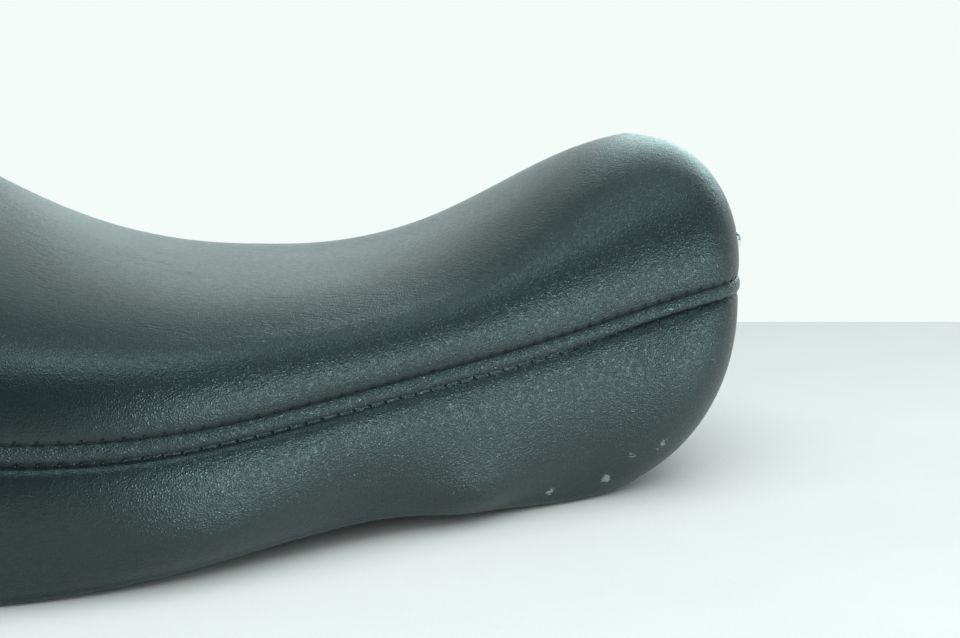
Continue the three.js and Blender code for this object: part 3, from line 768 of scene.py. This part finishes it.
def leather(name, panel=True):
    """Black pebbled hide: pebbles, slanting wrinkles and fine pores, worn a little lighter in places. Painted
    shade darkens the seat's creases and the needle holes; the band's copy is painted lighter, as a painted
    highlight.
    """
    g = Graph(name, (0.03, 0.04, 0.042), 0.45)
    cloud = g.node("TexNoise", {"Vector": g.here, "Scale": 300.0, "Detail": 2.0}).outputs[1]
    drift = g.vector("SUBTRACT", cloud, (0.5, 0.5, 0.5))
    warped = g.vector("ADD", g.here, g.vector("SCALE", drift, scale=0.0012))
    edge = g.node("TexVoronoi", {"Vector": warped, "Scale": 1050.0}, feature="DISTANCE_TO_EDGE").outputs[0]
    small = g.node("TexVoronoi", {"Vector": warped, "Scale": 2300.0}, feature="SMOOTH_F1").outputs[0]
    pebble = g.step(edge, 0.0, 0.40)
    turned = {0: warped, 2: (0.0, math.radians(-42), 0.0), 3: (480.0, 600.0, 950.0)}
    slanted = g.node("Mapping", turned).outputs[0]
    wrinkle = g.step(g.noise(1.0, 3, slanted, 0.6), 0.3, 0.7)
    broad = g.noise(14.0, 3)
    fine = g.math("ADD", g.math("MULTIPLY", wrinkle, 0.42), g.math("MULTIPLY", small, -0.25))
    height = g.math("ADD", g.math("MULTIPLY", pebble, 0.50), fine)
    worn = g.step(broad, 0.35, 0.7)
    color = g.blend(g.step(height, 0.0, 0.6), (0.007, 0.013, 0.014), (0.013, 0.022, 0.023))
    color = g.blend(g.math("MULTIPLY", worn, 0.35), color, (0.017, 0.028, 0.029))
    rough = g.math("ADD", g.step(height, 0.0, 0.6, 0.44, 0.33), g.math("MULTIPLY", worn, -0.03))
    if not panel:
        # painted highlight: the band's copy of the leather is painted lighter all over for the bright ridge
        # of the band; its lower roughness is real
        color = g.blend(0.6, color, (0.030, 0.045, 0.046))
        rough = g.math("ADD", rough, -0.08)
        normal = g.bump(height, 0.30)
    else:
        sat_smooth = g.step(g.node("SeparateXYZ", {0: g.here}).outputs[0], -0.08, 0.06, 0.45, 1.0)
        normal = g.bump(g.math("MULTIPLY", height, sat_smooth), 0.17)
        crease = crease_mask(g)
        # painted shade: the creases drawn darker in colour
        color = g.blend(g.math("MULTIPLY", crease, 0.9), color, (0.004, 0.012, 0.013))
        scuff = scuff_mask(g)
        color = g.blend(g.math("MULTIPLY", scuff, 0.7), color, (0.30, 0.33, 0.32))
        rough = g.math("MAXIMUM", rough, g.math("MULTIPLY", scuff, 0.8))
        hole = hole_mask(g)
        # painted shade: the needle holes drawn near black
        color = g.blend(hole, color, (0.004, 0.005, 0.005))
        rough = g.math("MAXIMUM", rough, g.math("MULTIPLY", hole, 0.9))
        sunk = g.math("ADD", g.math("MULTIPLY", crease, 0.35), hole)
        normal = g.bump(g.math("SUBTRACT", 1.0, sunk), 0.4, normal)
    g.shader.inputs["Specular IOR Level"].default_value = 0.5
    g.shader.inputs["Specular Tint"].default_value = (0.90, 1.0, 1.0, 1.0)
    g.shader.inputs["Sheen Weight"].default_value = 0.06
    g.shader.inputs["Sheen Roughness"].default_value = 0.5
    return g.finish(color, rough, normal)


def thread(name, dark, light):
    """Twisted thread, paler along the crowns of its twist."""
    g = Graph(name, dark, 0.5)
    twist = g.node("TexWave", {"Vector": g.here, "Scale": 900.0, "Distortion": 1.5}, wave_type="BANDS",
                   bands_direction="DIAGONAL").outputs[1]
    return g.finish(g.blend(twist, dark, light), g.step(twist, 0, 1, 0.6, 0.4), g.bump(twist, 0.12))


def moulded(name, color, roughness, grain_scale, grain_depth):
    """Moulded plastic or rubber with an eroded texture and a few paler rubs."""
    g = Graph(name, color, roughness)
    grain = g.noise(grain_scale, 3)
    rub = g.step(g.noise(35.0, 5, roughness=0.7), 0.55, 0.75)
    lighter = tuple(min(1.0, 2.2 * c + 0.01) for c in color)
    darker = tuple(0.75 * c for c in color)
    tone = g.blend(g.math("MULTIPLY", rub, 0.4), g.blend(grain, darker, color), lighter)
    rough = g.step(grain, 0.3, 0.7, roughness - 0.07, roughness + 0.08)
    return g.finish(tone, rough, g.bump(grain, grain_depth))


def foam_material():
    """Aged open-cell foam."""
    g = Graph("foam", (0.6, 0.52, 0.36), 0.95)
    cells = g.node("TexVoronoi", {"Vector": g.here, "Scale": 900.0}).outputs[0]
    age = g.noise(18.0, 4)
    color = g.blend(age, (0.55, 0.45, 0.27), (0.72, 0.66, 0.50))
    color = g.blend(g.step(cells, 0.5, 0.1), color, (0.42, 0.34, 0.20))
    return g.finish(color, 0.95, g.bump(cells, 0.3))


def plated_steel():
    """Zinc plate, brushed along the saddle and gone dull in patches."""
    g = Graph("zinc_plate", (0.55, 0.56, 0.54), 0.35, 1.0)
    brushed = g.noise(1.0, 4, g.vector("MULTIPLY", g.here, (60.0, 900.0, 900.0)))
    dull = g.step(g.noise(55.0, 5, roughness=0.65), 0.45, 0.7)
    color = g.blend(dull, (0.62, 0.62, 0.58), (0.42, 0.41, 0.38))
    rough = g.math("ADD", g.step(brushed, 0.3, 0.7, 0.26, 0.38), g.math("MULTIPLY", dull, 0.2))
    return g.finish(color, rough, g.bump(brushed, 0.03))


def chrome():
    """Bright plate with a little haze."""
    g = Graph("chrome_plate", (0.90, 0.93, 0.93), 0.2, 1.0)
    haze = g.noise(240.0, 4)
    color = g.blend(g.step(haze, 0.5, 0.75), (0.90, 0.93, 0.93), (0.74, 0.78, 0.77))
    return g.finish(color, g.step(haze, 0.3, 0.8, 0.18, 0.34), g.bump(haze, 0.02))


def paint(piece, material):
    """Gives a piece its one material."""
    piece.data.materials.clear()
    piece.data.materials.append(material)


def fit(piece, material, slot, *nodes):
    """A finished piece: it rides on the saddle's one body, and stands for CAD nodes."""
    paint(piece, material)
    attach(piece, "root")
    if nodes:
        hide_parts(*nodes)
    return piece


# ---- scene -------------------------------------------------------------------------------------------------


def camera():
    """At the height of the saddle's top, square to it but for 10 degrees, looking down 8 degrees."""
    data = bpy.data.cameras.new("camera")
    data.lens = 56.25
    data.sensor_width = 36.0
    data.clip_start = 0.01
    eye = bpy.data.objects.new("camera", data)
    bpy.context.scene.collection.objects.link(eye)
    eye.location = Vector((2.4, -627.0, 150.0)) * MM
    eye.rotation_euler = (math.radians(90 - 8), 0.0, math.radians(-10))
    bpy.context.scene.camera = eye


def softbox(name, place_m, target_m, size_m, power, color):
    """A rectangular lamp at a place, facing a target, that the camera doesn't see."""
    data = bpy.data.lights.new(name, "AREA")
    data.shape = "RECTANGLE"
    data.size, data.size_y = size_m
    data.energy = power
    data.color = color
    lamp = bpy.data.objects.new(name, data)
    bpy.context.scene.collection.objects.link(lamp)
    lamp.visible_camera = False
    facing = (Vector(target_m) - Vector(place_m)).to_track_quat("-Z", "Y")
    lamp.matrix_world = Matrix.Translation(place_m) @ facing.to_matrix().to_4x4()
    return lamp


BACKDROP = (0.90, 0.97, 0.95)
ROOM_BEHIND_HIGH, ROOM_IN_FRONT = (0.16, 0.21, 0.21), (0.07, 0.10, 0.105)
LAMP_TINT, FLOOR_LAMP_TINT = (0.71, 1.0, 0.985), (0.985, 1.0, 0.99)


def room_light():
    """A pale backdrop, which lights the saddle from low behind and little from overhead or in front."""
    world = bpy.data.worlds.new("room")
    bpy.context.scene.world = world
    world.use_nodes = True
    nodes, links = world.node_tree.nodes, world.node_tree.links
    direction = nodes.new("ShaderNodeSeparateXYZ")
    links.new(nodes.new("ShaderNodeTexCoord").outputs["Generated"], direction.inputs[0])

    def smooth(source, *limits):
        made = nodes.new("ShaderNodeMapRange")
        made.interpolation_type = "SMOOTHSTEP"
        for index, value in enumerate(limits, start=1):
            made.inputs[index].default_value = value
        links.new(source, made.inputs[0])
        return made.outputs[0]

    def mixed(factor, a, b):
        made = nodes.new("ShaderNodeMix")
        made.data_type = "RGBA"
        links.new(factor, made.inputs[0])
        for socket, value in ((made.inputs[6], a), (made.inputs[7], b)):
            if isinstance(value, tuple):
                socket.default_value = (*value, 1.0)
            else:
                links.new(value, socket)
        return made.outputs[2]

    seen = nodes.new("ShaderNodeLightPath").outputs["Is Camera Ray"]
    high = smooth(direction.outputs[2], 0.12, 0.85, 0.0, 1.0)
    behind = smooth(direction.outputs[1], -0.1, 0.4, 0.0, 1.0)
    back = mixed(high, BACKDROP, ROOM_BEHIND_HIGH)
    lighting = mixed(behind, ROOM_IN_FRONT, back)
    links.new(mixed(seen, lighting, BACKDROP), nodes["Background"].inputs[0])


def pale_floor():
    """A plain pale sheet square to the camera, with two lamps of its own.

    Returns the collection that keeps the other lamps off it.
    """
    g = Graph("floor", (0.80, 0.84, 0.83), 0.9)
    color = g.blend(g.noise(9.0, 5), (0.76, 0.80, 0.79), (0.84, 0.88, 0.87))
    material = g.finish(color, 0.9, g.bump(g.noise(700.0, 3), 0.15))
    work = bmesh.new()
    bmesh.ops.create_grid(work, x_segments=8, y_segments=8, size=1.0)
    mesh = bpy.data.meshes.new("floor")
    work.to_mesh(mesh)
    work.free()
    floor = bpy.data.objects.new("floor", mesh)
    floor.location = (0.17, -0.60, -0.4 * MM)
    floor.rotation_euler.z = math.radians(-10)
    floor.data.materials.append(material)
    bpy.context.scene.collection.objects.link(floor)
    lit_by_it = bpy.data.collections.new("floor_only")
    lit_by_it.objects.link(floor)
    for lamp in (
        softbox("floor_light", (0.45, -0.60, 1.5), (0.3, -0.2, 0), (2.6, 2.2), 33.0, FLOOR_LAMP_TINT),
        softbox("floor_front", (-0.2, -1.6, 0.70), (-0.1, 0, 0), (2.6, 1.0), 19.0, FLOOR_LAMP_TINT),
    ):
        lamp.light_linking.receiver_collection = lit_by_it
    all_but_it = bpy.data.collections.new("all_but_floor")
    all_but_it.objects.link(floor)
    all_but_it.collection_objects[0].light_linking.link_state = "EXCLUDE"
    return all_but_it


def surroundings():
    """The room, the floor, and the lamps that light the saddle alone."""
    room_light()
    all_but_floor = pale_floor()
    lamps = [
        softbox("window", (1.00, -0.82, 0.11), (0, -0.1, 0.04), (0.30, 0.18), 8.2, LAMP_TINT),
        softbox("overhead", (-0.10, 0.9, 1.1), (0, 0, 0), (1.3, 0.6), 1.5, LAMP_TINT),
        softbox("behind_low", (0.0, 1.7, 0.25), (0, 0, 0.1), (2.6, 0.5), 4.7, LAMP_TINT),
        softbox("behind_right", (0.95, 1.35, 0.80), (0.12, 0, 0.1), (1.1, 0.5), 11.0, LAMP_TINT),
        softbox("front_fill", (0.32, -0.28, 1.20), (0, 0, 0.05), (0.8, 0.5), 6.0, LAMP_TINT),
    ]
    for lamp in lamps:
        lamp.light_linking.receiver_collection = all_but_floor
    bpy.context.scene.view_settings.view_transform = "Standard"


# ---- build -------------------------------------------------------------------------------------------------

camera()
surroundings()

hide = leather("black_leather")
# a lighter copy of the hide for the seam band: painted highlight
strip = leather("band_leather_painted_highlight", panel=False)
thread_material = thread("thread", (0.008, 0.010, 0.010), (0.02, 0.024, 0.024))
# pale copy of the black thread: painted glints for the lower row's thread ends
glint_painted_thread = thread("glint_painted_thread", (0.04, 0.05, 0.05), (0.24, 0.27, 0.265))
steel, bright = plated_steel(), chrome()
pan_plastic = moulded("pan_plastic", (0.028, 0.030, 0.031), 0.55, 1100.0, 0.08)
rubber = moulded("rubber", (0.022, 0.022, 0.021), 0.78, 600.0, 0.1)

cushion = fit(foam(), foam_material(), "foam", "foam_cushion")
fit(top_cover(), hide, "leather", "top_cover")
skirts = [
    ("nose_panel_leather", -NOSE_SPLIT, NOSE_SPLIT, 11, "nose_panel"),
    ("side_panel_left_leather", NOSE_SPLIT, CANTLE_SPLIT, 12, "side_panel_left"),
    ("cantle_panel_leather", CANTLE_SPLIT, 1 - CANTLE_SPLIT, 13, "cantle_panel"),
    ("side_panel_right_leather", 1 - CANTLE_SPLIT, 1 - NOSE_SPLIT, 14, "side_panel_right"),
]
for name, start, end, seed, node in skirts:
    fit(skirt_panel(name, start, end, seed), hide, "leather", node)
fit(seam_band("seam_band_left_strip", 0, SEAM_LENGTH / 2), strip, "leather", "seam_band_left")
fit(seam_band("seam_band_right_strip", SEAM_LENGTH / 2, SEAM_LENGTH), strip, "leather", "seam_band_right")
fit(stitch_row("stitches_upper", True), thread_material, "leather")
fit(stitch_row("stitches_lower", False), thread_material, "leather")
fit(stitch_ends("stitch_ends_upper", True), thread_material, "leather")
# the lower thread ends are painted pale, as painted glints in the needle holes
fit(stitch_ends("stitch_ends_lower", False), glint_painted_thread, "leather")
fit(hem_staples(), steel, "zinc_steel")

fit(base_pan(), pan_plastic, "pan_plastic", "base_pan")
for number, ends in enumerate(RIBS, start=1):
    fit(pan_rib(f"pan_rib_{number}", ends), pan_plastic, "pan_plastic")

SLOTS = {"zinc_steel": steel, "chrome": bright, "rubber": rubber}
for part in frame["record"]["subparts"]:
    node = frame["nodes"][part["node"]]
    if part["material_slot"] in SLOTS:
        paint(node, SLOTS[part["material_slot"]])
        bevelled(node)
